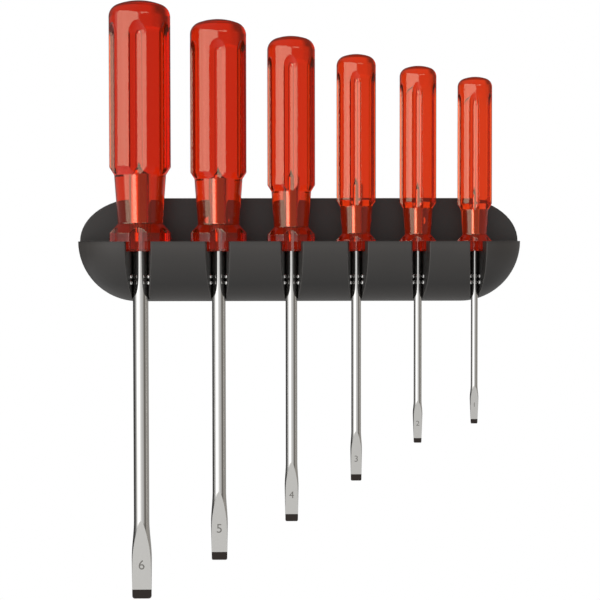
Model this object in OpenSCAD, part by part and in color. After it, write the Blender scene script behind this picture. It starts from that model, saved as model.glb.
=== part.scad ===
// Wall rack with a graded set of six slotted screwdrivers.
// The wall is the plane y = 0, the ledge of the rack is the plane z = 0,
// and the drivers stand in front of the wall, towards -y.
// Every list of six runs from the largest driver on the left to the smallest on the right.

/* [Rack] */
// Length of the rack
rack_w = 230; // [226:1:280]
// Height of the upright plate above the ledge
plate_h = 22.6; // [16:0.2:34]
// Thickness of the upright plate
plate_t = 3; // [2.2:0.1:4]
// Depth of the rounded body below the ledge
body_drop = 31.2; // [30:0.2:40]
// Radius of the big round along the front and both ends of the body
body_r = 28; // [20:0.5:29]
// Wall of the hollow body
body_wall = 2.4; // [1.8:0.1:3]
// Thickness of the ledge
ledge_t = 2.6; // [2:0.1:4]
// Distance from the left end of the rack to the largest handle
margin_left = 17.2; // [12:0.1:22]
// Distance from the smallest handle to the right end of the rack
margin_right = 15.9; // [12:0.1:22]
// Shares of the remaining length that go to the gaps between the handles
gap_share = [10.1, 10.8, 11.1, 12.3, 11]; // [8:0.1:14]

/* [Seats for the collars] */
// Depth of the round seat that each collar drops into
seat_depth = 5; // [3:0.1:6]
// Radial play of a collar in its seat
seat_play = 0.4; // [0.2:0.05:0.6]
// Wall round each seat
seat_wall = 2; // [1.6:0.1:2.4]
// Floor under each seat
seat_floor = 2.2; // [1.6:0.1:3]
// Gap between the largest handle and the upright plate
back_gap = 1.2; // [0.6:0.1:4]

/* [Slots for the blades] */
// Play of a blade in its slot, over both sides
blade_play = 1; // [0.6:0.1:1.4]
// How far each side of a slot opens out between the blade and the front
mouth_flare = 2.25; // [1:0.05:2.6]
// Wall on each side of a slot
slot_wall = 2; // [1.6:0.1:2.4]
// Thickness of the rib from a slot to the wall
rib_t = 2; // [1.6:0.1:2.6]
// Radius of the round nibs that hold a blade
nib_r = 1; // [0.9:0.05:1.2]
// How far a nib stands out of its slot wall
nib_out = 0.75; // [0.7:0.05:0.85]
// Gap between a nib and the blade behind it
nib_gap = 0.1; // [0.05:0.01:0.2]
// Distance from the ledge down to the upper nibs
nib_drop = 18; // [12:0.1:19]
// Distance between the upper and the lower nibs
nib_pitch = 3.2; // [2.4:0.1:4]

/* [Screw holes] */
// Diameter of the two screw holes
screw_d = 4.5; // [3:0.1:5.5]
// Diameter of their countersinks
screw_head_d = 8.6; // [7:0.1:9]
// Height of the screw holes above the ledge
screw_z = 12; // [9:0.2:14]

/* [Handles] */
// Diameter of each grip and of its collar
handle_d = [31.5, 28.8, 24.5, 20.2, 18.9, 17.7]; // [16:0.1:34]
// Length of the largest handle
largest_handle_l = 128.7; // [124:0.1:140]
// Lengths of the five smaller handles
other_handle_l = [119.4, 110.7, 101.6, 95.3, 89.5]; // [80:0.1:124]
// Height of each neck, from the underside of the collar to the grip
neck_h = [39.1, 37, 30.6, 23, 22, 21.3]; // [18:0.1:44]
// Diameter of each neck where it meets the grip
neck_d = [26.6, 24.7, 20.5, 16.6, 15.2, 14.2]; // [13:0.1:29]
// Height of each collar, up to its sloping top
collar_h = [9.4, 9.4, 8.5, 5.7, 5.3, 5.3]; // [4:0.1:11]
// Taper of the necks, in degrees from the axis
neck_taper = 4.1; // [1:0.1:5]
// Slope of the step between neck and grip, in degrees from the axis
step_angle = 32; // [20:1:60]
// Slope of the top of the collars, in degrees from the axis
collar_angle = 42; // [30:1:60]
// Radius of the hollow between neck and collar
collar_fillet = 1.6; // [0.5:0.1:2]
// Chamfer under the collars
collar_chamfer = 1.1; // [0.4:0.1:1.6]
// Radius of the round shoulder of each grip
shoulder_r = 6.4; // [3:0.1:7]
// Radius of each domed end, as a multiple of the grip's radius
dome_ratio = 2.5; // [1.4:0.1:4]
// Number of flutes round a handle
flutes = 6; // [5:1:7]
// Angle from the middle of a flute to its edge
flute_half = 16.5; // [12:0.5:18]
// Distance from the round shoulder down to the top of the flutes
flute_stop = 4.2; // [1:0.1:12]

/* [Blades] */
// Diameter of each blade
rod_d = [8, 7, 6, 5, 4.1, 3.5]; // [3:0.1:9]
// Length of the largest blade below its handle
largest_blade_l = 180; // [165:1:200]
// Lengths of the five smaller blades below their handles
other_blade_l = [160, 140, 119, 99.4, 89.5]; // [70:0.1:165]
// Length of the tang inside each handle
tang_l = [45.5, 43, 42, 38, 35.6, 33]; // [26:0.1:50]
// Length of the pointed end of a tang
tang_point = 4; // [2:0.5:6]
// Length of the flats that taper to each tip
flat_l = [41, 36, 31, 26, 22, 20]; // [18:0.5:46]
// Greatest width of each tip
flare_w = [10.4, 8.7, 7.2, 6, 5, 4.5]; // [4:0.1:12]
// Distance from each tip up to its greatest width
flare_h = [20.5, 18.5, 18, 16.5, 15, 13]; // [10:0.5:24]
// Width at the very end of each tip
tip_w = [10, 8, 6.5, 5.5, 4, 3.5]; // [3:0.1:11]
// Thickness at the very end of each tip
tip_t = [1.6, 1.2, 1.1, 1, 0.8, 0.6]; // [0.5:0.1:2]
// Length of the parallel ground end of each tip
ground_l = [4.7, 4.1, 3.7, 3.3, 2.4, 2.3]; // [1:0.1:6]
// Round at the corners of the tips
tip_corner = 0.6; // [0.2:0.1:0.9]

/* [Hidden] */
$fn = 72;
places = [0:5];
// The two places whose handles hide the screw holes
screw_places = [1, 4];
// Cutters run past the faces that they cut by this much
past = 1;

// Sum of the first n values of a list
function sum(list, n) = n <= 0 ? 0 : list[n - 1] + sum(list, n - 1);
function total(list) = sum(list, len(list));

handle_l = concat(largest_handle_l, other_handle_l);
blade_l = concat(largest_blade_l, other_blade_l);
free_w = rack_w - margin_left - total(handle_d) - margin_right;
handle_gap = gap_share * free_w / total(gap_share);
largest_r = max(handle_d) / 2;
blade_y = plate_t + back_gap + largest_r;
rack_depth = blade_y + largest_r + seat_play + seat_wall;
end_x = rack_w / 2 - body_drop;

// Middle of the driver at a place, from the middle of the rack
function slot_x(i) =
    margin_left - rack_w / 2 + sum(handle_d, i) + sum(handle_gap, i) + handle_d[i] / 2;

// Points on an arc about [x, y], from angle a to angle b
function arc(x, y, r, a, b, steps) =
    [for (k = [0:steps]) let (t = a + (b - a) * k / steps) [x + r * cos(t), y + r * sin(t)]];

// Smooth change from 0 to 1
function ease(t) = (1 - cos(180 * t)) / 2;

// Moves a piece from its own axis to its driver's place in the rack
module at_place(i) {
    translate([slot_x(i), -blade_y, 0]) children();
}

// Section of the rack's body: x is the depth below the ledge, y the distance from the wall
module body_section(drop, depth, r, behind) {
    translate([0, -behind]) square([drop, depth - r + behind]);
    square([drop - r, depth]);
    intersection() {
        translate([drop - r, depth - r]) circle(r);
        square([drop, depth]);
    }
}

// The body with its rounded ends, made from the section; it may run on behind the wall side
module body_form(inset, behind = 0) {
    module section() body_section(body_drop - inset, rack_depth - inset, body_r - inset, behind);
    rotate([0, 90, 180]) linear_extrude(2 * end_x, center = true) section();
    for (side = [0, 1])
        translate([side == 0 ? end_x : -end_x, 0, 0])
            rotate([90, 0, 0]) rotate([0, 0, side == 0 ? -90 : 180])
                rotate_extrude(angle = 90) section();
}

// The hollow, open towards the wall and closed above by the ledge
module body_hollow() {
    intersection() {
        body_form(body_wall, past);
        translate([-rack_w / 2, -rack_depth, -body_drop - past])
            cube([rack_w, rack_depth + past, body_drop + past - ledge_t]);
    }
}

// Upright plate with quarter ellipses at its ends
module upright_plate() {
    quarter = [for (t = [0:6:90]) [body_drop * cos(t), plate_h * sin(t)]];
    right = [for (p = quarter) [end_x + p[0], p[1]]];
    left = [for (k = [len(right) - 1:-1:0]) [-right[k][0], right[k][1]]];
    rotate([90, 0, 0]) linear_extrude(plate_t) polygon(concat(right, left));
}

// Plan of a slot, open towards the front, grown by a wall where one is wanted
module slot_plan(i, grow) {
    half = (rod_d[i] + blade_play) / 2 + grow;
    ahead = rack_depth - blade_y + past;
    straight = rod_d[i] / 2;
    circle(half);
    polygon([
        [-half, 0], [half, 0], [half, -straight],
        [half + mouth_flare, -ahead], [-half - mouth_flare, -ahead], [-half, -straight]
    ]);
}

// Walls that carry one driver inside the hollow body
module driver_seat(i) {
    cup_h = seat_depth + seat_floor;
    at_place(i) {
        translate([0, 0, -cup_h]) cylinder(r = handle_d[i] / 2 + seat_play + seat_wall, h = cup_h);
        translate([0, 0, -body_drop]) linear_extrude(body_drop) slot_plan(i, slot_wall);
        translate([-rib_t / 2, 0, -body_drop]) cube([rib_t, blade_y, body_drop]);
    }
}

// Room for one driver: the seat of its collar, and the slot of its blade
module driver_room(i) {
    at_place(i) {
        translate([0, 0, -seat_depth]) cylinder(r = handle_d[i] / 2 + seat_play, h = seat_depth + past);
        translate([0, 0, -body_drop - past]) linear_extrude(body_drop + 2 * past) slot_plan(i, 0);
    }
}

// Two pairs of round nibs, just ahead of the blade
module nibs(i) {
    side_x = (rod_d[i] + blade_play) / 2 + nib_r - nib_out;
    reach = rod_d[i] / 2 + nib_r + nib_gap;
    ahead = sqrt(reach * reach - side_x * side_x);
    at_place(i)
        for (side = [-1, 1], z = [nib_drop, nib_drop + nib_pitch])
            translate([side * side_x, -ahead, -z]) sphere(nib_r, $fn = 32);
}

module screw_hole(x) {
    sink = (screw_head_d - screw_d) / 2;
    translate([x, past, screw_z]) rotate([90, 0, 0]) cylinder(d = screw_d, h = plate_t + 2 * past);
    translate([x, -plate_t + sink, screw_z]) rotate([90, 0, 0])
        cylinder(d1 = screw_d, d2 = screw_head_d + 2 * past, h = sink + past);
}

module rack() {
    color("#3a3633") {
        difference() {
            union() {
                difference() {
                    body_form(0);
                    body_hollow();
                }
                upright_plate();
                intersection() {
                    body_form(0);
                    for (i = places) driver_seat(i);
                }
            }
            for (i = places) driver_room(i);
            for (i = screw_places) screw_hole(slot_x(i));
        }
        for (i = places) nibs(i);
    }
}

// Turned outline of a handle, from the underside of its collar upwards
module handle_outline(i) {
    r = handle_d[i] / 2;
    neck_r = neck_d[i] / 2;
    step_h = (r - neck_r) / tan(step_angle);
    widen = tan(neck_taper);
    slope = tan(collar_angle);
    // Where the collar's sloping top meets the neck, and the hollow between them
    meet_z = (r - neck_r + collar_h[i] * slope + neck_h[i] * widen) / (slope + widen);
    meet_r = r - (meet_z - collar_h[i]) * slope;
    turn = 180 - collar_angle - neck_taper;
    reach = collar_fillet / sin(turn / 2);
    bisector = neck_taper + turn / 2;
    hollow_x = meet_r + reach * sin(bisector);
    hollow_y = meet_z + reach * cos(bisector);
    // Where the round shoulder meets the flatter dome
    dome_r = dome_ratio * r;
    dome_y = handle_l[i] - dome_r;
    shoulder_x = r - shoulder_r;
    shoulder_y = dome_y + sqrt((dome_r - shoulder_r) ^ 2 - shoulder_x ^ 2);
    blend = atan2(shoulder_y - dome_y, shoulder_x);
    polygon(concat(
        [[0, 0], [r - collar_chamfer, 0], [r, collar_chamfer], [r, collar_h[i]]],
        arc(hollow_x, hollow_y, collar_fillet, 180 + collar_angle, 180 - neck_taper, 5),
        [[neck_r, neck_h[i]], [r, neck_h[i] + step_h]],
        arc(shoulder_x, shoulder_y, shoulder_r, 0, blend, 7),
        arc(0, dome_y, dome_r, blend, 90, 5)
    ));
}

// One flute: a round cutter that runs in from below and stops with a round end
module flute_cutter(i) {
    r = handle_d[i] / 2;
    floor_r = neck_d[i] / 2;
    // The cutter's circle passes through the floor and both edges of the flute
    edge_x = r * sin(flute_half);
    rise = r * cos(flute_half) - floor_r;
    cutter_r = (edge_x ^ 2 + rise ^ 2) / (2 * rise);
    axis_y = floor_r + cutter_r;
    dome_r = dome_ratio * r;
    dome_drop = dome_r - sqrt((dome_r - shoulder_r) ^ 2 - (r - shoulder_r) ^ 2);
    run_out = sqrt(cutter_r ^ 2 - (axis_y - r) ^ 2);
    top = handle_l[i] - dome_drop - flute_stop - run_out;
    translate([0, -axis_y, -past]) rotate_extrude() intersection() {
        union() {
            square([cutter_r, top + past]);
            translate([0, top + past]) circle(cutter_r);
        }
        square([cutter_r, top + past + cutter_r]);
    }
}

// The part of a blade that is moulded into its handle
module tang(i) {
    rotate_extrude() polygon([
        [0, -past], [rod_d[i] / 2, -past], [rod_d[i] / 2, tang_l[i] - tang_point], [0, tang_l[i]]
    ]);
}

module handle(i) {
    color("#d8301c", 0.75)
        translate([0, 0, -seat_depth]) at_place(i)
            difference() {
                rotate_extrude() handle_outline(i);
                for (k = [0:flutes - 1]) rotate([0, 0, 360 / flutes * k]) flute_cutter(i);
                tang(i);
            }
}

// Turned outline of the blade with its widened end, tip downwards
module blade_outline(i) {
    rod_r = rod_d[i] / 2;
    wide_r = flare_w[i] / 2;
    end_r = tip_w[i] / 2;
    swell = [for (t = [0:0.125:1])
        [rod_r + (wide_r - rod_r) * ease(t), -blade_l[i] + flat_l[i] + (flare_h[i] - flat_l[i]) * t]];
    polygon(concat(
        [[0, tang_l[i]], [rod_r, tang_l[i] - tang_point]],
        swell,
        arc(end_r - tip_corner, tip_corner - blade_l[i], tip_corner, 0, -90, 4),
        [[0, -blade_l[i]]]
    ));
}

// Side view of the flats: parallel at the very end, then widening to the full blade
module blade_flats(i) {
    thin = tip_t[i] / 2;
    full = max(rod_d[i], flare_w[i]) / 2 + past;
    rod_r = rod_d[i] / 2;
    side = [
        [thin, -blade_l[i] - past], [thin, -blade_l[i] + ground_l[i]],
        [rod_r, -blade_l[i] + flat_l[i]], [full, -blade_l[i] + flat_l[i]], [full, tang_l[i] + past]
    ];
    other = [for (k = [len(side) - 1:-1:0]) [-side[k][0], side[k][1]]];
    rotate([90, 0, 90]) linear_extrude(2 * full, center = true) polygon(concat(side, other));
}

module blade(i) {
    color("#c9ccd0")
        translate([0, 0, -seat_depth]) at_place(i)
            intersection() {
                rotate_extrude() blade_outline(i);
                blade_flats(i);
            }
}

rack();
handle(0);  // handle_6
handle(1);  // handle_5
handle(2);  // handle_4
handle(3);  // handle_3
handle(4);  // handle_2
handle(5);  // handle_1
blade(0);  // blade_6
blade(1);  // blade_5
blade(2);  // blade_4
blade(3);  // blade_3
blade(4);  // blade_2
blade(5);  // blade_1
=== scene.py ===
# %% [markdown]
# A black wall rack holds six slotted screwdrivers, from the largest on the left to the smallest
# on the right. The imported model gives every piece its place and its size. This script gives
# them their looks: moulded black plastic, clear red handles with the steel showing through
# them, and polished blades with blackened tips. The rack's solid is right as it is and only
# gets a finish. Handles and blades are made again, finer, in the places of their solids.

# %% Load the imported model
import math

import bpy
import bmesh
import numpy as np
from mathutils import Matrix, Vector


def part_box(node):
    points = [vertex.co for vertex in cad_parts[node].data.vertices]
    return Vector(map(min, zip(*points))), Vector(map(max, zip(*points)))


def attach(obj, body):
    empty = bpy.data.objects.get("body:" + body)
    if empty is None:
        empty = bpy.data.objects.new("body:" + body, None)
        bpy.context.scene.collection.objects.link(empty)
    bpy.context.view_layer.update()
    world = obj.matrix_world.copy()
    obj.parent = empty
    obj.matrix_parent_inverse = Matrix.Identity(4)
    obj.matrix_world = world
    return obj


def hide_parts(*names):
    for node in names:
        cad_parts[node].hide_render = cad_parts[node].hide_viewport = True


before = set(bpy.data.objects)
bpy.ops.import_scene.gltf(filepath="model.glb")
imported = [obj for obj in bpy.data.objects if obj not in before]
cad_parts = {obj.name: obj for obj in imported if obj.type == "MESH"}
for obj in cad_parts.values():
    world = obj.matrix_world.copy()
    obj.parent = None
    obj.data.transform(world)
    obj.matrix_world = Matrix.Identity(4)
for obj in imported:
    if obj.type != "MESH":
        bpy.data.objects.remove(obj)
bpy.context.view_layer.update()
MM = 0.001
SIZES = [6, 5, 4, 3, 2, 1]
print("nodes:", sorted(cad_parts))

# %% [markdown]
# The camera comes first. It stands 0.9 m in front of the wall, level with the ledge of the rack and
# tipped down by two degrees, so the ledge shows as a line and the drivers run very slightly together
# towards the floor. Its place could be set by eye, but a small error in its height would show the
# ledge from above, so it was worked out from the ends of the rack and of the drivers.

# %% Camera
EYE, FOCAL_PIXELS = (-0.01382, -0.9, 0.00068), 1705.9
TIPPED_DOWN, PANNED, ROLLED = 2.018, -0.906, -0.065
view = bpy.data.cameras.new("view")
view.sensor_width = 36.0
view.lens = FOCAL_PIXELS / 600 * view.sensor_width
camera = bpy.data.objects.new("view", view)
bpy.context.collection.objects.link(camera)
tilt = Matrix.Rotation(math.radians(90 - TIPPED_DOWN), 4, "X")
turn = Matrix.Rotation(math.radians(PANNED), 4, "Z")
roll = Matrix.Rotation(math.radians(ROLLED), 4, "Z")
camera.matrix_world = Matrix.Translation(EYE) @ turn @ tilt @ roll
bpy.context.scene.camera = camera
bpy.context.scene.view_settings.view_transform = "Standard"
print("lens %.1f mm" % view.lens)

# %% [markdown]
# Every driver hangs at its own place along the rack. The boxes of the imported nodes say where:
# the middle of a handle's box is the driver's axis, its underside is the foot that all heights
# are measured from, and the lowest point of a blade's box is the tip.

# %% Places of the six drivers
places = {}
for size in SIZES:
    low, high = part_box("handle_%d" % size)
    places[size] = {
        "x": (low[0] + high[0]) / 2,
        "y": (low[1] + high[1]) / 2,
        "foot": low[2],
        "tip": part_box("blade_%d" % size)[0][2],
    }
    print(size, {k: round(v, 5) for k, v in places[size].items()})

# %% [markdown]
# Small helpers keep the later cells short. Two of them make a mesh object from points and faces,
# with the faces turned outwards and only the true edges sharp.

# %% Helpers for meshes
def mesh_object(name, points, faces, material, sharp=35):
    mesh = bpy.data.meshes.new(name)
    mesh.from_pydata([tuple(p) for p in points], [], faces)
    mesh.update()
    finish_mesh(mesh, sharp)
    mesh.materials.append(material)
    piece = bpy.data.objects.new(name, mesh)
    bpy.context.collection.objects.link(piece)
    return piece


def finish_mesh(mesh, sharp):
    """Closes doubled points, turns the faces outwards and keeps only true edges sharp."""
    work = bmesh.new()
    work.from_mesh(mesh)
    bmesh.ops.remove_doubles(work, verts=work.verts, dist=1e-6)
    bmesh.ops.dissolve_degenerate(work, edges=work.edges, dist=1e-7)
    bmesh.ops.recalc_face_normals(work, faces=work.faces)
    work.to_mesh(mesh)
    work.free()
    mesh.shade_smooth()
    mesh.set_sharp_from_angle(angle=math.radians(sharp))

# %% [markdown]
# The materials and the Geometry Nodes trees are both built node by node. One helper makes a
# node, sets its values by name and links it where a value is another node's output. Another
# fills a colour ramp.

# %% Helpers for nodes
def new_material(name):
    material = bpy.data.materials.new(name)
    material.use_nodes = True
    tree = material.node_tree
    return material, tree, tree.nodes["Principled BSDF"]


def add_node(tree, kind, inputs=None, **settings):
    node = tree.nodes.new(kind)
    for key, value in settings.items():
        setattr(node, key, value)
    for key, value in (inputs or {}).items():
        if isinstance(value, bpy.types.NodeSocket):
            tree.links.new(value, node.inputs[key])
        else:
            node.inputs[key].default_value = value
    return node


def set_ramp(node, stops):
    """Gives a colour ramp its stops, each a place from 0 to 1 and a colour."""
    ramp = node.color_ramp
    while len(ramp.elements) > 1:
        ramp.elements.remove(ramp.elements[-1])
    for k, (where, shade) in enumerate(stops):
        stop = ramp.elements[0] if k == 0 else ramp.elements.new(where)
        stop.position = where
        stop.color = (*shade, 1)

# %% [markdown]
# The rack is one moulding in satin black plastic. Its skin isn't smooth: a fine grain from the
# mould scatters the light, so the highlights are wide and soft. One flat black would look like
# paint. The grain is a small noise bump, and a second, larger noise makes the shine and the tone
# a little uneven. The front is lightest under the ledge, darkens downwards and is lighter again at
# the rounded lower edge. That is painted shade and a painted sheen from the light, not a tone of the
# plastic: a ramp of tones over the height gives it simply, and it stays in place when the view turns.

# %% Black plastic of the rack
RACK_PAINTED_SHADE = [(-32, 0.036), (-27, 0.024), (-22, 0.014), (-17, 0.020), (-12, 0.026), (-7, 0.030), (-2, 0.038),
              (1, 0.028), (24, 0.028)]
rack_plastic, tree, skin = new_material("rack_plastic")
place = add_node(tree, "ShaderNodeTexCoord")
grain = add_node(tree, "ShaderNodeTexNoise", {"Vector": place.outputs["Object"], "Scale": 2600.0, "Detail": 3.0})
cloud = add_node(tree, "ShaderNodeTexNoise", {"Vector": place.outputs["Object"], "Scale": 60.0, "Detail": 2.0})
shine = add_node(tree, "ShaderNodeMapRange", {"Value": cloud.outputs["Fac"], "To Min": 0.42, "To Max": 0.52})
tone = add_node(tree, "ShaderNodeMapRange", {"Value": cloud.outputs["Fac"], "To Min": 0.88, "To Max": 1.12})
height = add_node(tree, "ShaderNodeSeparateXYZ", {"Vector": place.outputs["Object"]})
along = add_node(tree, "ShaderNodeMapRange", {"Value": height.outputs["Z"], "From Min": RACK_PAINTED_SHADE[0][0] * MM,
                                              "From Max": RACK_PAINTED_SHADE[-1][0] * MM})
# Painted shade and painted sheen: the front's colour follows the height.
painted_shade_ramp = add_node(tree, "ShaderNodeValToRGB", {0: along.outputs["Result"]})
LOWEST, HIGHEST = RACK_PAINTED_SHADE[0][0], RACK_PAINTED_SHADE[-1][0]
set_ramp(painted_shade_ramp, [((z - LOWEST) / (HIGHEST - LOWEST), (v, v * 0.88, v * 0.79)) for z, v in RACK_PAINTED_SHADE])
colour = add_node(tree, "ShaderNodeVectorMath", {0: painted_shade_ramp.outputs["Color"], 1: tone.outputs["Result"]},
                  operation="MULTIPLY")
rounding = add_node(tree, "ShaderNodeBevel", {"Radius": 0.0009})
rounding.samples = 6
bump = add_node(tree, "ShaderNodeBump", {"Height": grain.outputs["Fac"], "Strength": 0.12, "Distance": 0.0001,
                                         "Normal": rounding.outputs["Normal"]})
print("tones over", RACK_PAINTED_SHADE[0][0], "to", RACK_PAINTED_SHADE[-1][0], "mm")

# %% [markdown]
# Below the ledge the rounded edges are made paler: a painted highlight, where the edges catch the
# light. It could be painted along each edge. Here the rounded direction from the bevel node is
# compared with the true one: where the two differ, the point lies on an edge. The plate above the
# ledge shows no pale line, so only the edges below it get the painted highlight.

# %% Painted highlight on the edges
true_face = add_node(tree, "ShaderNodeNewGeometry")
turned = add_node(tree, "ShaderNodeVectorMath", {0: true_face.outputs["True Normal"], 1: rounding.outputs["Normal"]},
                  operation="DOT_PRODUCT")
edge_closeness = add_node(tree, "ShaderNodeMapRange", {"Value": turned.outputs["Value"], "From Min": 0.995, "From Max": 0.90})
under = add_node(tree, "ShaderNodeMath", {0: height.outputs["Z"], 1: -0.001}, operation="LESS_THAN")
edge_highlight = add_node(tree, "ShaderNodeMath", {0: edge_closeness.outputs["Result"], 1: under.outputs[0]}, operation="MULTIPLY")
# The paler colour mixed in along the edges is a painted highlight.
finish = add_node(tree, "ShaderNodeMix", {0: edge_highlight.outputs[0], 6: colour.outputs[0], 7: (0.075, 0.07, 0.065, 1)},
                  data_type="RGBA")

# %% [markdown]
# Seen through a dyed handle the rack would be almost black, while the real plastic scatters some
# light there and looks brown. Scattering inside the handles would be the true way, and slow and
# noisy. A weak glow stands in for it, and only rays that come through clear plastic see it.

# %% Rack behind clear plastic, and the finish on the rack
seen = add_node(tree, "ShaderNodeLightPath")
haze = add_node(tree, "ShaderNodeMapRange", {"Value": height.outputs["Z"], "From Min": -0.002, "From Max": 0.003,
                                             "To Min": 0.30, "To Max": 0.13})
glow = add_node(tree, "ShaderNodeMath", {0: seen.outputs["Is Transmission Ray"], 1: haze.outputs["Result"]},
                operation="MULTIPLY")
skin.inputs["Emission Color"].default_value = (1.0, 0.3, 0.6, 1)
skin.inputs["IOR"].default_value = 1.5
tree.links.new(glow.outputs[0], skin.inputs["Emission Strength"])
tree.links.new(finish.outputs[2], skin.inputs["Base Color"])
tree.links.new(shine.outputs["Result"], skin.inputs["Roughness"])
tree.links.new(bump.outputs["Normal"], skin.inputs["Normal"])
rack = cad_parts["rack"]
rack.data.materials.clear()
rack.data.materials.append(rack_plastic)
print("rack has %d triangles" % len(rack.data.polygons))

# %% [markdown]
# The handles are solid clear plastic, dyed through. Light is refracted at the surface and loses
# its green and blue on the way through, so thick places are deep red and thin places orange.
# Red paint can't do that, nor can glass with a coloured skin. An absorbing volume inside a clear
# surface does. The roughness is exactly 0, because the studio light further down gives the
# handles' mirror rays a light of their own, and finds them by that. Fine streaks along the
# handle, from the polishing, break the reflections a little.

# %% Clear red plastic of the handles
handle_plastic, tree, skin = new_material("handle_plastic")
skin.inputs["Base Color"].default_value = (1.0, 0.20, 0.045, 1)
skin.inputs["Roughness"].default_value = 0.0
skin.inputs["IOR"].default_value = 1.48
skin.inputs["Transmission Weight"].default_value = 0.96
place = add_node(tree, "ShaderNodeTexCoord")
drawn = add_node(tree, "ShaderNodeMapping", {"Vector": place.outputs["Object"], "Scale": (520, 520, 9)})
streaks = add_node(tree, "ShaderNodeTexNoise", {"Vector": drawn.outputs[0], "Scale": 1.0, "Detail": 2.0})
polish = add_node(tree, "ShaderNodeBump", {"Height": streaks.outputs["Fac"], "Strength": 1.0, "Distance": 0.00002})
tree.links.new(polish.outputs["Normal"], skin.inputs["Normal"])
dye = add_node(tree, "ShaderNodeVolumeAbsorption", {"Color": (0.85, 0.20, 0.0, 1), "Density": 130.0})
tree.links.new(dye.outputs["Volume"], tree.nodes["Material Output"].inputs["Volume"])
print("handle plastic: IOR %.2f" % skin.inputs["IOR"].default_value)

# %% [markdown]
# A handle is a turned shape with six flutes milled into it: a flat dome with a round shoulder,
# the grip, a step down to the round neck, and a collar below it. All sizes are in millimetres,
# measured from the underside of the collar. The small handles are turned by a few degrees about
# their axes, so that their front flutes lie where the photograph shows them.

# %% Sizes of the handles
HANDLE = {
    6: dict(d=31.5, l=128.2, neck_h=39.1, neck_d=26.6, collar_h=9.4, shoulder=6.5, turned=0),
    5: dict(d=28.8, l=118.7, neck_h=37.0, neck_d=24.7, collar_h=9.4, shoulder=6.4, turned=0),
    4: dict(d=24.5, l=110.2, neck_h=30.6, neck_d=20.5, collar_h=8.5, shoulder=6.4, turned=-2),
    3: dict(d=20.2, l=101.0, neck_h=23.0, neck_d=16.6, collar_h=5.7, shoulder=5.3, turned=-5),
    2: dict(d=18.9, l=95.0, neck_h=22.0, neck_d=15.2, collar_h=5.3, shoulder=4.8, turned=-7),
    1: dict(d=17.7, l=89.4, neck_h=21.3, neck_d=14.2, collar_h=5.3, shoulder=4.5, turned=-9),
}
NECK_TAPER, STEP_ANGLE, COLLAR_ANGLE = 4.1, 32.0, 42.0
COLLAR_FILLET, COLLAR_CHAMFER, DOME = 1.6, 1.1, 2.0
FLUTE_HALF, FLUTE_STOP, FLUTE_END_SLOPE, EDGE_ROUND = 16.5, 3.6, 0.88, 0.018
print("grips from %.1f to %.1f mm" % (HANDLE[6]["d"], HANDLE[1]["d"]))

# %% [markdown]
# A blade is a round bar that is forged wider near its end and ground to two flats. Its sizes
# come before the handles are made, because the plastic is moulded round its upper end, the
# tang. Lengths run up from the tip, apart from the tang, which runs up from the handle's foot.

# %% Sizes of the blades
BLADE = {
    6: dict(d=8.0, l=180, tang=45.5, flat=41, wide=10.4, wide_h=20.5, tip_w=10.0, tip_t=1.6, ground=4.7, corner=1.3),
    5: dict(d=7.0, l=160, tang=43.0, flat=36, wide=8.7, wide_h=18.5, tip_w=8.0, tip_t=1.2, ground=4.1, corner=0.7),
    4: dict(d=6.0, l=140, tang=42.0, flat=31, wide=7.2, wide_h=18.0, tip_w=6.5, tip_t=1.1, ground=3.7, corner=0.7),
    3: dict(d=5.0, l=119, tang=38.0, flat=26, wide=6.0, wide_h=16.5, tip_w=5.5, tip_t=1.0, ground=3.3, corner=0.6),
    2: dict(d=4.1, l=99.4, tang=35.6, flat=22, wide=5.0, wide_h=15.0, tip_w=4.0, tip_t=0.8, ground=2.4, corner=0.5),
    1: dict(d=3.5, l=89.5, tang=33.0, flat=20, wide=4.5, wide_h=13.0, tip_w=3.5, tip_t=0.6, ground=2.3, corner=0.5),
}
TANG_POINT = 4.0
print("blades from %.1f to %.1f mm thick" % (BLADE[6]["d"], BLADE[1]["d"]))

# %% [markdown]
# The outlines need two things over and over: an arc, and a corner with a small round on it,
# because real edges are never quite sharp. A bevel on the finished mesh would do the second too,
# but it would stumble where the flutes cut the edges. So the rounds go into the outline.

# %% Helpers for outlines
def arc(x, y, radius, start, end, steps):
    turns = [math.radians(start + (end - start) * k / steps) for k in range(steps + 1)]
    return [(x + radius * math.cos(t), y + radius * math.sin(t)) for t in turns]


def eased_corner(before, corner, after, radius, steps=4):
    """A corner of an outline with a small round on it."""
    corner = Vector(corner)
    back = Vector(before) - corner
    ahead = Vector(after) - corner
    half = back.angle(ahead) / 2
    run = min(radius / math.tan(half), back.length * 0.45, ahead.length * 0.45)
    start = corner + back.normalized() * run
    end = corner + ahead.normalized() * run
    points = []
    for k in range(steps + 1):
        t = k / steps
        points.append(tuple(start * (1 - t) ** 2 + corner * 2 * t * (1 - t) + end * t ** 2))
    return points

# %% [markdown]
# A round cutter runs along the grip, parallel to its axis, and lifts out at the top. Its radius
# follows from three points: the two edges of a flute and its floor, which is level with the
# neck. A ball-ended cutter would leave a steep end, and clear plastic mirrors everything there
# and shows a black line. So the end is stretched until it is never steeper than a set slope.

# %% Flute of a handle
def flute_of(size):
    """Distance of the cutter's axis, its radius, the height where it lifts, its run-out and ease."""
    h = HANDLE[size]
    r = h["d"] / 2
    floor = h["neck_d"] / 2
    edge = r * math.sin(math.radians(FLUTE_HALF))
    rise = r * math.cos(math.radians(FLUTE_HALF)) - floor
    cutter = (edge ** 2 + rise ** 2) / (2 * rise)
    dome = DOME * r
    drop = dome - math.sqrt((dome - h["shoulder"]) ** 2 - (r - h["shoulder"]) ** 2)
    outside = floor + cutter - r
    ball_run_out = math.sqrt(cutter ** 2 - outside ** 2)
    ease = min(1.0, FLUTE_END_SLOPE * outside / ball_run_out)
    run_out = ball_run_out / ease
    return floor + cutter, cutter, h["l"] - drop - FLUTE_STOP - run_out, run_out, ease


for size in SIZES:
    print("flute", size, [round(v, 2) for v in flute_of(size)])

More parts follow.
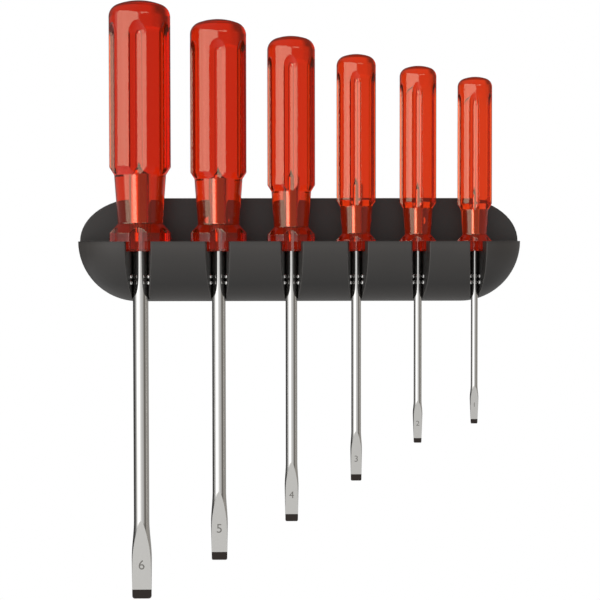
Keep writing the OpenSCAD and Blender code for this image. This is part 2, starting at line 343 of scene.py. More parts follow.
# %% [markdown]
# The outline is built from below: up the bore and back, across the underside, and up the
# outside to the dome. It runs up inside, along the steel that is moulded in, so that the plastic
# is a solid with a true bore and not a shell that the steel floats in. The bore laps the steel by
# two hundredths of a millimetre, or a thin line of air would show between them.

# %% Outline of a handle
BORE_LAP, FOOT_ROUND, NECK_ROUND, GRIP_ROUND = 0.02, 0.35, 0.5, 0.9


def handle_outline(size):
    h = HANDLE[size]
    r, neck = h["d"] / 2, h["neck_d"] / 2
    bore = BLADE[size]["d"] / 2 - BORE_LAP
    tang = BLADE[size]["tang"]
    step_h = (r - neck) / math.tan(math.radians(STEP_ANGLE))
    widen = math.tan(math.radians(NECK_TAPER))
    slope = math.tan(math.radians(COLLAR_ANGLE))
    meet_z = (r - neck + h["collar_h"] * slope + h["neck_h"] * widen) / (slope + widen)
    meet_r = r - (meet_z - h["collar_h"]) * slope
    turn = 180 - COLLAR_ANGLE - NECK_TAPER
    reach = COLLAR_FILLET / math.sin(math.radians(turn / 2))
    bisector = math.radians(NECK_TAPER + turn / 2)
    dome = DOME * r
    dome_y = h["l"] - dome
    side = r - h["shoulder"]
    shoulder_y = dome_y + math.sqrt((dome - h["shoulder"]) ** 2 - side ** 2)
    blend = math.degrees(math.atan2(shoulder_y - dome_y, side))
    hollow = arc(meet_r + reach * math.sin(bisector), meet_z + reach * math.cos(bisector), COLLAR_FILLET,
                 180 + COLLAR_ANGLE, 180 - NECK_TAPER, 10)
    path = [(0.0, tang - 2 * BORE_LAP), (bore, tang - TANG_POINT), (bore, 0.0)]
    underside = [(bore, 0.0), (r - COLLAR_CHAMFER, 0.0), (r, COLLAR_CHAMFER), (r, h["collar_h"]), hollow[0]]
    for k in (1, 2, 3):
        path += eased_corner(underside[k - 1], underside[k], underside[k + 1], FOOT_ROUND)
    path += hollow
    grip = [hollow[-1], (neck, h["neck_h"]), (r, h["neck_h"] + step_h), (r, shoulder_y)]
    path += eased_corner(grip[0], grip[1], grip[2], NECK_ROUND)
    path += eased_corner(grip[1], grip[2], grip[3], GRIP_ROUND, 6)
    path += arc(side, shoulder_y, h["shoulder"], 0, blend, 16)
    path += arc(0, dome_y, dome, blend, 90, 14)[1:]
    path[-1] = (0.0, h["l"])
    return path

# %% [markdown]
# Straight stretches of the outline need few points, apart from where the flutes begin or end.
# The edge of a flute curves there, so the points come every 0.3 mm.

# %% More points where the flutes begin and end
FINE_STEP, WIDE_STEP = 0.3, 2.5


def marks_between(low_z, high_z, fine):
    """Heights from one end of a stretch to the other, close together in the fine zones."""
    marks, z = [], low_z
    while z < high_z - 1e-9:
        near = any(low <= z < high for low, high in fine)
        z += FINE_STEP if near else WIDE_STEP
        for low, high in fine:
            if not near and z > low > z - WIDE_STEP:
                z = low
        marks.append(min(z, high_z))
    return marks


def filled_outline(size):
    """The outline of a handle with the points that its flutes need."""
    h = HANDLE[size]
    top, run_out = flute_of(size)[2:4]
    fine = [(0.05, h["collar_h"] + 3.5), (h["neck_h"] - 0.5, h["neck_h"] + 5.5), (top - 1, top + run_out + 0.5)]
    path = handle_outline(size)
    full = [path[0]]
    for a, b in zip(path, path[1:]):
        if math.dist(a, b) < 1e-6:
            continue
        in_bore = b[0] < BLADE[size]["d"] / 2 + 0.1 and b[1] < h["l"] - 2
        if in_bore or abs(a[1] - b[1]) < 1e-6:
            count = 1 if in_bore else 8
            shares = [(k + 1) / count for k in range(count)]
            full += [(a[0] + (b[0] - a[0]) * t, a[1] + (b[1] - a[1]) * t) for t in shares]
        else:
            for z in marks_between(a[1], b[1], fine):
                full.append((a[0] + (b[0] - a[0]) * (z - a[1]) / (b[1] - a[1]), z))
    return full


for size in SIZES:
    print("outline", size, len(filled_outline(size)), "points")

# %% [markdown]
# The handle's shape follows a rule, so Geometry Nodes make it. Cutting the flutes with booleans
# would leave ragged edges, and clear plastic shows every one. Instead each point of the surface
# is put where the rule says, and the edges of the flutes fall on whole lines of points. The tree
# takes the outline and these sizes.

# %% Tree of the handles and its inputs
flute_tree = bpy.data.node_groups.new("turned_and_fluted", "GeometryNodeTree")
flute_tree.interface.new_socket("Outline", in_out="INPUT", socket_type="NodeSocketGeometry")
for name, kind in [("Flutes", "Int"), ("Columns Per Flute", "Int"), ("Cutter Distance", "Float"),
                   ("Cutter Radius", "Float"), ("Flute Top", "Float"), ("Run-Out Ease", "Float"), ("Turn", "Float"),
                   ("Edge Round", "Float"), ("Place", "Vector"), ("Plastic", "Material")]:
    flute_tree.interface.new_socket(name, in_out="INPUT", socket_type="NodeSocket" + kind)
flute_tree.interface.new_socket("Handle", in_out="OUTPUT", socket_type="NodeSocketGeometry")
given = flute_tree.nodes.new("NodeGroupInput").outputs


def calc(operation, *values):
    return add_node(flute_tree, "ShaderNodeMath", dict(enumerate(values)), operation=operation).outputs[0]


add = lambda a, b: calc("ADD", a, b)
sub = lambda a, b: calc("SUBTRACT", a, b)
mul = lambda a, b: calc("MULTIPLY", a, b)
div = lambda a, b: calc("DIVIDE", a, b)

# %% [markdown]
# A flat grid gets one row for each point of the outline and one column for each direction round
# the axis. Each point looks up its row's radius and height in the outline.

# %% Grid that reads the outline
position = add_node(flute_tree, "GeometryNodeInputPosition").outputs[0]
rows = add_node(flute_tree, "GeometryNodeAttributeDomainSize", {"Geometry": given["Outline"]}, component="MESH")
columns = mul(given["Flutes"], given["Columns Per Flute"])
grid = add_node(flute_tree, "GeometryNodeMeshGrid", {
    "Size X": 1.0, "Size Y": 1.0, "Vertices X": add(columns, 1.0), "Vertices Y": rows.outputs["Point Count"]})
here = add_node(flute_tree, "ShaderNodeSeparateXYZ", {"Vector": position})
column = calc("ROUND", mul(add(here.outputs["X"], 0.5), columns))
row = calc("ROUND", mul(add(here.outputs["Y"], 0.5), sub(rows.outputs["Point Count"], 1.0)))
found = add_node(flute_tree, "GeometryNodeSampleIndex", {"Geometry": given["Outline"], "Index": row},
                 data_type="FLOAT_VECTOR", domain="POINT")
flute_tree.links.new(position, found.inputs["Value"])
point = add_node(flute_tree, "ShaderNodeSeparateXYZ", {"Vector": found.outputs["Value"]})
radius, height = point.outputs["X"], point.outputs["Z"]

# %% [markdown]
# At each height the cutter and the outline cross at some angle from the middle of the flute. It
# comes from the cosine rule, and shrinks to almost nothing where the cutter has lifted out.

# %% Half the angle that a flute takes up
LEAST_HALF = 2.5
above = mul(calc("MAXIMUM", sub(height, given["Flute Top"]), 0.0), given["Run-Out Ease"])
cutter_sq = sub(mul(given["Cutter Radius"], given["Cutter Radius"]), mul(above, above))
solid_r = calc("MAXIMUM", radius, 1e-5)
distance = given["Cutter Distance"]
top = sub(add(mul(distance, distance), mul(solid_r, solid_r)), cutter_sq)
cosine = calc("MINIMUM", div(top, mul(mul(distance, solid_r), 2.0)), 1.0)
half = calc("MAXIMUM", calc("ARCCOSINE", cosine), math.radians(LEAST_HALF))

# %% [markdown]
# The columns are packed towards the edges of the flutes, and they follow those edges up and
# down, so that each edge is one clean line of points. Six tenths of the columns of a sector lie
# in the flute and the others on the land beside it, with sine and cosine drawing them together.

# %% Direction of each column
IN_FLUTE = 0.6
share = div(column, given["Columns Per Flute"])
across = mul(sub(calc("FRACT", share), 0.5), 2.0)
off = calc("ABSOLUTE", across)
in_flute = mul(half, calc("SINE", mul(calc("MINIMUM", div(off, IN_FLUTE), 1.0), math.pi / 2)))
beyond = calc("MAXIMUM", div(sub(off, IN_FLUTE), 1 - IN_FLUTE), 0.0)
land = sub(div(math.pi, given["Flutes"]), half)
on_land = mul(land, sub(1.0, calc("COSINE", mul(beyond, math.pi / 2))))
angle = mul(calc("SIGN", across), add(in_flute, on_land))
sector = mul(calc("FLOOR", share), div(2 * math.pi, given["Flutes"]))
direction = add(add(sector, angle), given["Turn"])

# %% [markdown]
# Where the cutter comes closer to the axis than the outline does, the cutter wins. A soft
# minimum leaves a small round between the two, as the polishing does. Then the grid is put in
# its place, and its doubled points along the seam and the axis are merged.

# %% Surface of the handle
sideways = mul(distance, calc("SINE", angle))
inside = sub(cutter_sq, mul(sideways, sideways))
cut = sub(mul(distance, calc("COSINE", angle)), calc("SQRT", calc("MAXIMUM", inside, 0.0)))
missed = mul(calc("LESS_THAN", inside, 0.0), 1.0)
reach = calc("SMOOTH_MIN", radius, add(cut, missed), given["Edge Round"])
turned_point = add_node(flute_tree, "ShaderNodeCombineXYZ", {
    "X": mul(reach, calc("SINE", direction)), "Y": mul(mul(reach, calc("COSINE", direction)), -1.0), "Z": height})
placed = add_node(flute_tree, "ShaderNodeVectorMath", {0: turned_point.outputs[0], 1: given["Place"]}, operation="ADD")
shaped = add_node(flute_tree, "GeometryNodeSetPosition", {
    "Geometry": grid.outputs["Mesh"], "Position": placed.outputs[0]})
closed = add_node(flute_tree, "GeometryNodeMergeByDistance", {"Geometry": shaped.outputs[0], "Distance": 2e-6})
real = add_node(flute_tree, "GeometryNodeRealizeInstances", {"Geometry": closed.outputs[0]})
finished = add_node(flute_tree, "GeometryNodeSetMaterial", {"Geometry": real.outputs[0], "Material": given["Plastic"]})
end = flute_tree.nodes.new("NodeGroupOutput")
flute_tree.links.new(finished.outputs[0], end.inputs["Handle"])
print("tree has %d nodes" % len(flute_tree.nodes))

# %% [markdown]
# One helper runs a tree on a piece and turns what it makes into a plain mesh. The inputs are
# set by their identifiers before anything is evaluated.

# %% Run a tree and keep its result as a mesh
def run_tree(piece, tree, values, sharp=35):
    modifier = piece.modifiers.new("rule", "NODES")
    modifier.node_group = tree
    for item in tree.interface.items_tree:
        if item.item_type == "SOCKET" and item.in_out == "INPUT" and item.name in values:
            modifier[item.identifier] = values[item.name]
    depsgraph = bpy.context.evaluated_depsgraph_get()
    result = bpy.data.meshes.new_from_object(piece.evaluated_get(depsgraph))
    piece.modifiers.remove(modifier)
    old = piece.data
    piece.data = result
    bpy.data.meshes.remove(old)
    finish_mesh(result, sharp)
    return piece


def outline_object(name, outline):
    mesh = bpy.data.meshes.new(name)
    mesh.from_pydata([(r * MM, 0, z * MM) for r, z in outline], [], [])
    piece = bpy.data.objects.new(name, mesh)
    bpy.context.collection.objects.link(piece)
    return piece

# %% [markdown]
# Now each driver's outline goes through the tree. A handle stands for its imported solid, which is
# hidden, and rides on the root body.

# %% The six handles
for size in SIZES:
    axis, cutter, lift, run_out, end_ease = flute_of(size)
    spot = places[size]
    piece = outline_object("clear_handle_%d" % size, filled_outline(size))
    run_tree(piece, flute_tree, {
        "Flutes": 6, "Columns Per Flute": 40, "Cutter Distance": axis * MM, "Cutter Radius": cutter * MM,
        "Flute Top": lift * MM, "Run-Out Ease": end_ease, "Turn": math.radians(HANDLE[size]["turned"]),
        "Edge Round": EDGE_ROUND * HANDLE[size]["d"] / 2 * MM,
        "Place": (spot["x"], spot["y"], spot["foot"]), "Plastic": handle_plastic})
    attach(piece, "root")
    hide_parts("handle_%d" % size)
    print(piece.name, len(piece.data.polygons), "faces")

# %% [markdown]
# The bar of a blade is polished chrome. The flats keep the fine marks of the grinding wheel, and
# the last few millimetres are blackened. Three materials with hard borders would do, but one
# material can finish the whole blade if each point of the mesh says whether it lies on a flat
# and whether it lies in the black tip. The marks are a noise stretched along the blade.

# %% Steel of the blades
blade_steel, tree, skin = new_material("blade_steel")
flatness = add_node(tree, "ShaderNodeAttribute", attribute_name="on_flat")
black = add_node(tree, "ShaderNodeAttribute", attribute_name="black_tip")
place = add_node(tree, "ShaderNodeTexCoord")
stretch = add_node(tree, "ShaderNodeMapping", {"Vector": place.outputs["Object"], "Scale": (3000, 3000, 120)})
lines = add_node(tree, "ShaderNodeTexNoise", {"Vector": stretch.outputs[0], "Scale": 1.0, "Detail": 4.0})
shine = add_node(tree, "ShaderNodeMapRange", {"Value": flatness.outputs["Fac"], "To Min": 0.09, "To Max": 0.34})
dark = add_node(tree, "ShaderNodeMapRange", {"Value": black.outputs["Fac"], "To Min": 0.0, "To Max": 0.25})
rough = add_node(tree, "ShaderNodeMath", {0: shine.outputs["Result"], 1: dark.outputs["Result"]}, operation="ADD")
plated = add_node(tree, "ShaderNodeMix", {
    0: flatness.outputs["Fac"], 6: (0.78, 0.77, 0.75, 1), 7: (0.63, 0.62, 0.595, 1)}, data_type="RGBA")
steel = add_node(tree, "ShaderNodeMix", {6: plated.outputs[2], 7: (0.05, 0.041, 0.037, 1)}, data_type="RGBA")
tree.links.new(black.outputs["Fac"], steel.inputs[0])
tree.links.new(steel.outputs[2], skin.inputs["Base Color"])
tree.links.new(rough.outputs[0], skin.inputs["Roughness"])
skin.inputs["Metallic"].default_value = 1.0
marks = add_node(tree, "ShaderNodeMath", {0: lines.outputs["Fac"], 1: flatness.outputs["Fac"]}, operation="MULTIPLY")
bump = add_node(tree, "ShaderNodeBump", {"Height": marks.outputs[0], "Strength": 0.25, "Distance": 0.00004})
tree.links.new(bump.outputs["Normal"], skin.inputs["Normal"])
print("blade steel has %d nodes" % len(tree.nodes))

# %% [markdown]
# The blade is built as a stack of rings. Each ring is a circle with two flats cut across it, and
# three numbers give it: its height, its radius and half its thickness between the flats. A
# sculpted or lofted shape could follow the forging too, but rings make the sizes exact.

# %% Height and section of each ring
BAR_STEP, FLARE_RINGS, TIP_RINGS, CORNER_RINGS = 6.0, 40, 10, 5


def eased(t):
    return (1 - math.cos(math.pi * t)) / 2


def ring_heights(size):
    """Heights above the foot of the handle at which the blade has a ring."""
    b = BLADE[size]
    tip = -b["l"]
    heights = [b["tang"] - TANG_POINT - 0.3, 0.0, -BAR_STEP]
    z = -2 * BAR_STEP
    while z > tip + b["flat"] + 1:
        heights.append(z)
        z -= BAR_STEP
    heights += [tip + b["flat"] + 1, tip + b["flat"] + 0.001]
    heights += [tip + b["flat"] + (b["wide_h"] - b["flat"]) * k / FLARE_RINGS for k in range(1, FLARE_RINGS + 1)]
    heights += [tip + b["wide_h"] + (b["corner"] - b["wide_h"]) * k / TIP_RINGS for k in range(1, TIP_RINGS + 1)]
    heights += [tip + b["ground"] + 0.05, tip + b["ground"] - 0.05]
    return sorted(set(round(h, 5) for h in heights), reverse=True)


def ring_section(size, up):
    """Radius and half thickness at a height above the tip."""
    b = BLADE[size]
    r, corner = b["d"] / 2, b["corner"]
    if up >= b["flat"]:
        return r, r
    if up >= b["wide_h"]:
        radius = r + (b["wide"] / 2 - r) * eased((b["flat"] - up) / (b["flat"] - b["wide_h"]))
    else:
        radius = b["tip_w"] / 2 + (b["wide"] / 2 - b["tip_w"] / 2) * (up - corner) / (b["wide_h"] - corner)
    thin = b["tip_t"] / 2 + (r - b["tip_t"] / 2) * max(0.0, up - b["ground"]) / (b["flat"] - b["ground"])
    return radius, min(thin, radius)


def blade_rings(size):
    """Height, radius and half thickness of all rings, from the point of the tang to the tip."""
    b = BLADE[size]
    r, tip, corner, end_r = b["d"] / 2, -b["l"], b["corner"], b["tip_w"] / 2
    rings = [(b["tang"], 0.0, r), (b["tang"] - TANG_POINT, r, r)]
    rings += [(z, *ring_section(size, z - tip)) for z in ring_heights(size)]
    for k in range(1, CORNER_RINGS + 1):
        turn = math.radians(90 / CORNER_RINGS * k)
        rings.append((tip + corner - corner * math.sin(turn), end_r - corner + corner * math.cos(turn),
                      b["tip_t"] / 2))
    return rings


print("rings:", {size: len(blade_rings(size)) for size in SIZES})

# %% [markdown]
# The points of a ring are shared out so that some always fall on the corners between the round
# and the flats. Then neighbouring rings are joined, and each point gets its two marks for the
# material.

# %% Mesh of a blade
ARC_STEPS, FLAT_STEPS, LARGEST_CORNER = 14, 10, math.radians(80)


def ring_turns(radius, thin):
    """Directions of a ring's points: across each round side, then across each flat."""
    corner = math.asin(min(1.0, thin / radius)) if radius > 0 else LARGEST_CORNER
    corner = min(corner, LARGEST_CORNER)
    turns = []
    for base in (0.0, math.pi):
        turns += [base - corner + 2 * corner * k / ARC_STEPS for k in range(ARC_STEPS)]
        turns += [base + corner + (math.pi - 2 * corner) * k / FLAT_STEPS for k in range(FLAT_STEPS)]
    return turns


def blade_object(size, name):
    spot = places[size]
    points, on_flat, black_tip = [], [], []
    rings = blade_rings(size)
    for z, radius, thin in rings:
        for t in ring_turns(radius, thin):
            y = max(-thin, min(thin, radius * math.sin(t)))
            points.append((spot["x"] + radius * math.cos(t) * MM, spot["y"] + y * MM, spot["foot"] + z * MM))
            on_flat.append(1.0 if thin < radius - 1e-6 and abs(abs(y) - thin) < 1e-6 else 0.0)
            up = (spot["foot"] + z * MM - spot["tip"]) / MM
            black_tip.append(1.0 if up < BLADE[size]["ground"] else 0.0)
    around = 2 * (ARC_STEPS + FLAT_STEPS)
    faces = []
    for row in range(len(rings) - 1):
        for k in range(around):
            a, b = row * around + k, row * around + (k + 1) % around
            faces.append((a, b, b + around, a + around))
    faces.append(tuple(range((len(rings) - 1) * around, len(rings) * around)))
    mesh = bpy.data.meshes.new(name)
    mesh.from_pydata(points, [], faces)
    for label, values in (("on_flat", on_flat), ("black_tip", black_tip)):
        layer = mesh.attributes.new(label, "FLOAT", "POINT")
        layer.data.foreach_set("value", values)
    finish_mesh(mesh, 20)
    mesh.materials.append(blade_steel)
    piece = bpy.data.objects.new(name, mesh)
    bpy.context.collection.objects.link(piece)
    return piece

# %% [markdown]
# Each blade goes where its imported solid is, and stands for it.

# %% The six blades
for size in SIZES:
    piece = blade_object(size, "steel_blade_%d" % size)
    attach(piece, "root")
    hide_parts("blade_%d" % size)
    print(piece.name, len(piece.data.polygons), "faces")

# %% [markdown]
# Each blade carries its size as one small digit, etched into the front flat a little above the
# tip. Etching leaves the steel dull and pitted, so the digit is darker and rougher than the
# flat round it.

# %% Etched steel
etching, tree, skin = new_material("etching")
place = add_node(tree, "ShaderNodeTexCoord")
pits = add_node(tree, "ShaderNodeTexNoise", {"Vector": place.outputs["Object"], "Scale": 4000.0, "Detail": 2.0})
frost = add_node(tree, "ShaderNodeMapRange", {"Value": pits.outputs["Fac"], "To Min": 0.45, "To Max": 0.65})
shade = add_node(tree, "ShaderNodeValToRGB", {0: pits.outputs["Fac"]})
set_ramp(shade, [(0.3, (0.19, 0.18, 0.165)), (0.7, (0.29, 0.28, 0.265))])
bump = add_node(tree, "ShaderNodeBump", {"Height": pits.outputs["Fac"], "Strength": 0.3, "Distance": 0.00002})
tree.links.new(shade.outputs["Color"], skin.inputs["Base Color"])
tree.links.new(frost.outputs["Result"], skin.inputs["Roughness"])
tree.links.new(bump.outputs["Normal"], skin.inputs["Normal"])
skin.inputs["Metallic"].default_value = 1.0
print("etching has %d nodes" % len(tree.nodes))

# %% [markdown]
# The digits could be cut into the flats or painted by a mask. A text curve made into a thin mesh
# is sharper than a mask and lighter than a cut. It is tipped to the slope of the flat, and lies
# on it like a film.

# %% Etched digits
DIGIT_UP = {6: 17.5, 5: 16.3, 4: 13.7, 3: 11.3, 2: 10.0, 1: 9.7}
DIGIT_H = {6: 4.9, 5: 4.6, 4: 3.6, 3: 3.2, 2: 2.6, 1: 2.3}
CAPITAL_SHARE, FILM = 0.69, 0.012


def digit_mesh(size):
    text = bpy.data.curves.new("digit_%d" % size, "FONT")
    text.body = str(size)
    text.align_x = "CENTER"
    text.align_y = "CENTER"
    text.size = DIGIT_H[size] * MM / CAPITAL_SHARE
    text.extrude = FILM * MM
    holder = bpy.data.objects.new("digit_%d" % size, text)
    bpy.context.collection.objects.link(holder)
    depsgraph = bpy.context.evaluated_depsgraph_get()
    mesh = bpy.data.meshes.new_from_object(holder.evaluated_get(depsgraph))
    bpy.data.objects.remove(holder)
    return mesh


for size in SIZES:
    b, spot = BLADE[size], places[size]
    slope = math.atan2(b["d"] / 2 - b["tip_t"] / 2, b["flat"] - b["ground"])
    thin = b["tip_t"] / 2 + math.tan(slope) * (DIGIT_UP[size] - b["ground"])
    mesh = digit_mesh(size)
    mesh.transform(Matrix.Translation((spot["x"], spot["y"] - thin * MM, spot["tip"] + DIGIT_UP[size] * MM))
                   @ Matrix.Rotation(math.pi / 2 + slope, 4, "X"))
    mesh.materials.clear()
    mesh.materials.append(etching)
    piece = bpy.data.objects.new("etched_digit_%d" % size, mesh)
    bpy.context.collection.objects.link(piece)
    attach(piece, "root")
    print(piece.name, len(mesh.polygons), "faces")

# %% [markdown]
# Two pairs of small round nibs in each slot snap round the blade and hold it back. They catch the
# light as bright dots, so their caps get a polished finish with faint rubbing.

# %% Finish of the nibs
bright_nib, tree, skin = new_material("bright_nib")
place = add_node(tree, "ShaderNodeTexCoord")
rub = add_node(tree, "ShaderNodeTexNoise", {"Vector": place.outputs["Object"], "Scale": 1500.0, "Detail": 2.0})
shine = add_node(tree, "ShaderNodeMapRange", {"Value": rub.outputs["Fac"], "To Min": 0.16, "To Max": 0.30})
shade = add_node(tree, "ShaderNodeValToRGB", {0: rub.outputs["Fac"]})
set_ramp(shade, [(0.3, (0.74, 0.73, 0.71)), (0.7, (0.88, 0.87, 0.85))])
tree.links.new(shine.outputs["Result"], skin.inputs["Roughness"])
tree.links.new(shade.outputs["Color"], skin.inputs["Base Color"])
skin.inputs["Metallic"].default_value = 1.0
print("bright nib has %d nodes" % len(tree.nodes))

# %% [markdown]
# All 24 caps are alike, so Geometry Nodes put one on each place: a cloud of points goes in, an
# icosphere is copied to every point, and the copies are made real.

# %% Places of the nibs
NIB_R, NIB_OUT, NIB_GAP, BLADE_PLAY, NIB_HEIGHTS = 1.0, 0.75, 0.1, 1.0, (-18.0, -21.2)
spots = []
for size in SIZES:
    rod_r = BLADE[size]["d"] / 2
    aside = rod_r + BLADE_PLAY / 2 + NIB_R - NIB_OUT
    ahead = rod_r + NIB_R + NIB_GAP
    spots += [(places[size]["x"] + side * aside * MM, places[size]["y"] - ahead * MM, z * MM)
              for side in (-1, 1) for z in NIB_HEIGHTS]
print(len(spots), "nibs")

# %% Tree that puts a cap on each point
caps = bpy.data.node_groups.new("caps_on_points", "GeometryNodeTree")
for name, kind in [("Places", "NodeSocketGeometry"), ("Radius", "NodeSocketFloat"), ("Finish", "NodeSocketMaterial")]:
    caps.interface.new_socket(name, in_out="INPUT", socket_type=kind)
caps.interface.new_socket("Caps", in_out="OUTPUT", socket_type="NodeSocketGeometry")
given = caps.nodes.new("NodeGroupInput").outputs
ball = add_node(caps, "GeometryNodeMeshIcoSphere", {"Radius": given["Radius"], "Subdivisions": 4})
copies = add_node(caps, "GeometryNodeInstanceOnPoints", {"Points": given["Places"], "Instance": ball.outputs["Mesh"]})
real = add_node(caps, "GeometryNodeRealizeInstances", {"Geometry": copies.outputs["Instances"]})
finished = add_node(caps, "GeometryNodeSetMaterial", {"Geometry": real.outputs[0], "Material": given["Finish"]})
end = caps.nodes.new("NodeGroupOutput")
caps.links.new(finished.outputs[0], end.inputs["Caps"])

# %% [markdown]
# The caps stand a few hundredths of a millimetre proud of the solid nibs and cover them. All of
# them are one piece, because nothing takes them apart.

# %% The caps
CAP_PROUD = 0.03
mesh = bpy.data.meshes.new("nib_caps")
mesh.from_pydata(spots, [], [])
piece = bpy.data.objects.new("nib_caps", mesh)
bpy.context.collection.objects.link(piece)
run_tree(piece, caps, {"Radius": (NIB_R + CAP_PROUD) * MM, "Finish": bright_nib})
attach(piece, "root")
print("nibs", len(spots), "faces", len(piece.data.polygons))

# %% [markdown]
# The set hangs on a wall, so no floor touches it. A plain pale disc well below it stands for the
# floor, out of the photograph's frame.

# %% Floor
pale, tree, skin = new_material("pale_floor")
place = add_node(tree, "ShaderNodeTexCoord")
mottle = add_node(tree, "ShaderNodeTexNoise", {"Vector": place.outputs["Object"], "Scale": 12.0, "Detail": 2.0})
shade = add_node(tree, "ShaderNodeValToRGB", {0: mottle.outputs["Fac"]})
set_ramp(shade, [(0.3, (0.80, 0.80, 0.79)), (0.7, (0.84, 0.84, 0.83))])
tree.links.new(shade.outputs["Color"], skin.inputs["Base Color"])
skin.inputs["Roughness"].default_value = 0.9
FLOOR_R, FLOOR_Z = 0.30, -0.30
ring = [(FLOOR_R * math.cos(t), FLOOR_R * math.sin(t), FLOOR_Z) for t in np.linspace(0, 2 * math.pi, 97)[:-1]]
floor = mesh_object("floor", ring, [tuple(range(96))], pale)
floor.visible_transmission = False
floor.visible_glossy = False
print("floor at %.2f m" % FLOOR_Z)

# %% [markdown]
# The light is a plain studio, painted on the world by direction and not built from lamps, so
# that each kind of surface can be lit on its own. Azimuth 0 is towards the camera, and left is
# negative. Rise is the angle above the horizon. Levels above 1 are brighter than white paper.

# %% Directions of the world
world = bpy.data.worlds.new("studio")
bpy.context.scene.world = world
world.use_nodes = True
tree = world.node_tree
tree.nodes.clear()
view_ray = add_node(tree, "ShaderNodeTexCoord")
parts = add_node(tree, "ShaderNodeSeparateXYZ", {"Vector": view_ray.outputs["Generated"]})
toward = add_node(tree, "ShaderNodeMath", {0: parts.outputs["Y"], 1: -1.0}, operation="MULTIPLY")
azimuth = add_node(tree, "ShaderNodeMath", {0: parts.outputs["X"], 1: toward.outputs[0]}, operation="ARCTAN2")
rise = add_node(tree, "ShaderNodeMath", {0: parts.outputs["Z"]}, operation="ARCSINE")
LEVEL_TOP = 8.0
print("light levels up to", LEVEL_TOP)

# %% [markdown]
# Three helpers paint it: a ramp of levels over an angle, a mix of two lights, and a soft step
# between two angles. A ramp holds colours up to 1, so its levels are divided by the highest one
# and multiplied again at the end.

# %% Helpers for the light
def level_ramp(angle, low, high, stops):
    """A ramp of light levels over an angle in degrees."""
    unit = add_node(tree, "ShaderNodeMapRange", {"Value": angle.outputs[0], "From Min": math.radians(low),
                                                 "From Max": math.radians(high)})
    node = add_node(tree, "ShaderNodeValToRGB", {0: unit.outputs["Result"]})
    tint = lambda level: level if isinstance(level, tuple) else (level, level, level)
    set_ramp(node, [((at - low) / (high - low), [v / LEVEL_TOP for v in tint(level)]) for at, level in stops])
    return node.outputs[0]


def blend(kind, one, two, factor=1.0):
    node = add_node(tree, "ShaderNodeMix", data_type="RGBA", blend_type=kind)
    for key, value in ((0, factor), (6, one), (7, two)):
        if isinstance(value, bpy.types.NodeSocket):
            tree.links.new(value, node.inputs[key])
        else:
            node.inputs[key].default_value = value
    return node.outputs[2]


def between(angle, start, end):
    """0 below the first angle, 1 above the second, eased in between."""
    node = add_node(tree, "ShaderNodeMapRange", {"Value": angle.outputs[0], "From Min": math.radians(start),
                                                 "From Max": math.radians(end)}, interpolation_type="SMOOTHSTEP")
    return node.outputs["Result"]


WARM = (1.0, 0.97, 0.74)
warm = lambda level: tuple(level * part for part in WARM)
brown = lambda level: (level, level * 0.95, level * 0.88)

# %% [markdown]
# What the handles mirror is a wide soft box in front on the left. Its reflection is the pale
# stripe on every handle. The box ends straight on the right and above. Its upper edge is a plane
# through the eye in terms of directions, and it cuts the stripe off aslant under the domes.

# %% Soft box in the handles
BOX_EDGE = (-0.415, -0.233, -0.868)
upper = level_ramp(azimuth, -180, 180, [
    (-180, 0.4), (-160, 0.3), (-103, 0.10), (-97, 0.8), (-90, 1.0), (-84, warm(3.6)), (-64, warm(3.9)),
    (-56, warm(4.8)), (-48, warm(4.2)), (-3, warm(4.4)), (5, 0.22), (60, 0.15), (110, 0.30), (160, 0.3), (180, 0.4)])
upper_top = level_ramp(azimuth, -180, 180, [(-180, 0.05), (-60, 0.3), (60, 0.15), (180, 0.05)])
upper_floor = level_ramp(azimuth, -180, 180, [(-180, 0.5), (-60, 0.8), (0, 0.5), (60, 0.2), (180, 0.4)])
edge = add_node(tree, "ShaderNodeVectorMath", {0: view_ray.outputs["Generated"], 1: BOX_EDGE},
                operation="DOT_PRODUCT")
below_edge = add_node(tree, "ShaderNodeMapRange", {
    "Value": edge.outputs["Value"], "From Min": -0.06, "From Max": 0.04}, interpolation_type="SMOOTHSTEP")
box_light = blend("MIX", upper_top, upper, below_edge.outputs["Result"])

# %% [markdown]
# To the right of the box stands a small window, which makes the bright spot on each dome. It is
# four soft steps multiplied together.

# %% Window
window = between(azimuth, 4, 12)
for angle, start, stop in ((azimuth, 42, 34), (rise, 8, 11), (rise, 22, 17)):
    window = add_node(tree, "ShaderNodeMath", {0: window, 1: between(angle, start, stop)},
                      operation="MULTIPLY").outputs[0]
box_light = blend("MIX", box_light, (*[v * 3.3 / LEVEL_TOP for v in WARM], 1), window)

# %% [markdown]
# The grips mirror directions just above the horizon, the collars the horizon itself, and the
# tapered necks a few degrees below it. So the box stops above the horizon, a gap with weaker
# light keeps the collars dark, and a smaller white card below it gives the necks their stripe.

# %% Gap and card under the box
gap = level_ramp(azimuth, -180, 180, [
    (-180, 0.3), (-100, 0.3), (-88, 0.9), (-60, 1.2), (-46, 1.3), (-38, 2.4), (-12, 2.4), (-3, 0.2), (180, 0.3)])
card = level_ramp(azimuth, -180, 180, [
    (-180, 0.3), (-90, 0.3), (-76, 0.3), (-68, warm(3.8)), (-33, warm(3.8)), (-29, warm(7.8)),
    (-17, warm(7.8)), (-12, 0.3), (180, 0.3)])
box_light = blend("MIX", gap, box_light, between(rise, 0.2, 1.0))
box_light = blend("MIX", card, box_light, between(rise, -3.0, -2.0))
box_light = blend("MIX", upper_floor, box_light, between(rise, -16, -10))

# %% [markdown]
# Blades and rack mirror a narrower and dimmer light, which gives the white band on each bar. It
# falls off to a brown dark on the right, and that draws the dark line along each bar.

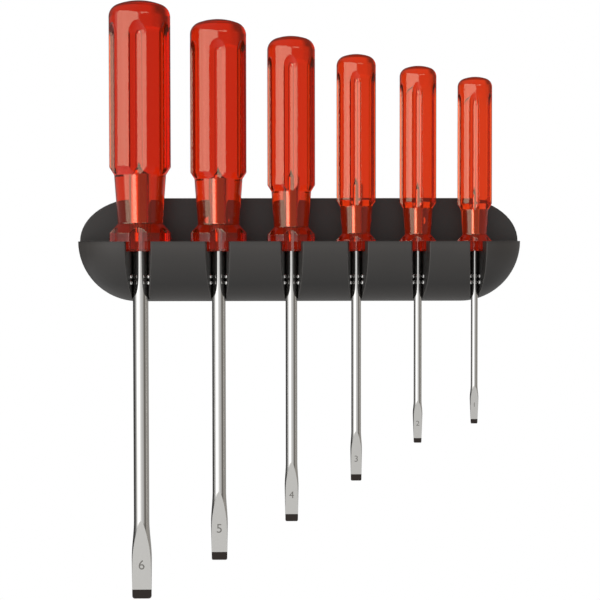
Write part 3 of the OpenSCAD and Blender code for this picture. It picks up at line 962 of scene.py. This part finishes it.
# %% Light in the blades and the rack
lower = level_ramp(azimuth, -180, 180, [
    (-180, 0.05), (-110, 0.05), (-97, 0.12), (-85, 0.26), (-76, 0.45), (-65, 0.85), (-56, 1.15), (-42, 1.7),
    (-27, 1.45), (-12, 1.15), (2, 0.72), (18, 0.62), (35, 0.50), (44, brown(0.36)), (50, brown(0.18)),
    (65, brown(0.14)), (76, brown(0.30)), (86, brown(0.42)), (110, brown(0.32)), (180, 0.34)])
lower_floor = level_ramp(azimuth, -180, 180, [(-180, 0.5), (-60, 0.85), (0, 0.8), (60, 0.6), (180, 0.5)])
blade_light = blend("MIX", lower_floor, lower, between(rise, -20, -14))

# %% [markdown]
# Light that has gone through clear plastic leaves it in all directions. Straight behind it meets
# white paper. To the sides it meets the dark of the room, which draws the deep red lines inside
# the handles, and then the soft box. The ledge and the floor bring darker light from below.

# %% What is seen through the handles
through = level_ramp(azimuth, -180, 180, [
    (-180, 0.95), (-162, 0.95), (-156, 0.78), (-150, 0.75), (-144, 0.5), (-136, 0.25), (-124, 0.3), (-116, 0.8),
    (-105, 1.5), (-90, 2.0), (-56, 2.2), (-34, 2.2), (-28, 0.8), (0, 0.4), (90, 0.4), (105, 0.5), (118, 0.6),
    (124, 0.9), (180, 0.95)])
through_low = level_ramp(azimuth, -180, 180, [
    (-180, 1.0), (-163, 1.0), (-157, 0.65), (-151, 0.28), (-135, 0.25), (-126, 0.8), (-108, 2.6), (-84, 3.0),
    (-66, 0.5), (-40, 0.25), (70, 0.2), (100, 0.45), (128, 0.55), (145, 0.9), (180, 1.0)])
through_top = level_ramp(azimuth, -180, 180, [
    (-180, 1.4), (-120, 1.1), (-60, 0.9), (0, 0.4), (60, 0.6), (120, 0.9), (180, 1.4)])
through_floor = level_ramp(azimuth, -180, 180, [
    (-180, 0.4), (-130, 0.3), (-120, 0.5), (-108, 2.4), (-84, 3.0), (-66, 0.5), (-40, 0.25), (-10, 0.6),
    (20, 0.4), (70, 0.2), (120, 0.3), (180, 0.4)])
clear_light = blend("MIX", through, through_top, between(rise, 15, 35))
clear_light = blend("MIX", through_low, clear_light, between(rise, -9, -3))
clear_light = blend("MIX", through_floor, clear_light, between(rise, -25, -17))

# %% [markdown]
# The kind of ray picks its light. Glossy rays get the blades' light, mirror rays off perfectly
# smooth plastic get the soft box, rays through the plastic get theirs, and all others light the
# matt surfaces. The camera itself sees plain white.

# %% Studio
soft_light = level_ramp(azimuth, -180, 180, [
    (-180, 0.8), (-90, 1.2), (-40, 1.4), (20, 1.0), (90, 0.6), (180, 0.8)])
ray = add_node(tree, "ShaderNodeLightPath")
light = blend("MIX", soft_light, blade_light, ray.outputs["Is Glossy Ray"])
light = blend("MIX", light, box_light, ray.outputs["Is Singular Ray"])
light = blend("MIX", light, clear_light, ray.outputs["Is Transmission Ray"])
studio = add_node(tree, "ShaderNodeBackground", {"Color": light, "Strength": LEVEL_TOP})
white = add_node(tree, "ShaderNodeBackground", {"Color": (1, 1, 1, 1), "Strength": 1.0})
seen_world = add_node(tree, "ShaderNodeMixShader", {
    0: ray.outputs["Is Camera Ray"], 1: studio.outputs[0], 2: white.outputs[0]})
add_node(tree, "ShaderNodeOutputWorld", {"Surface": seen_world.outputs[0]})
print("world has %d nodes" % len(tree.nodes))
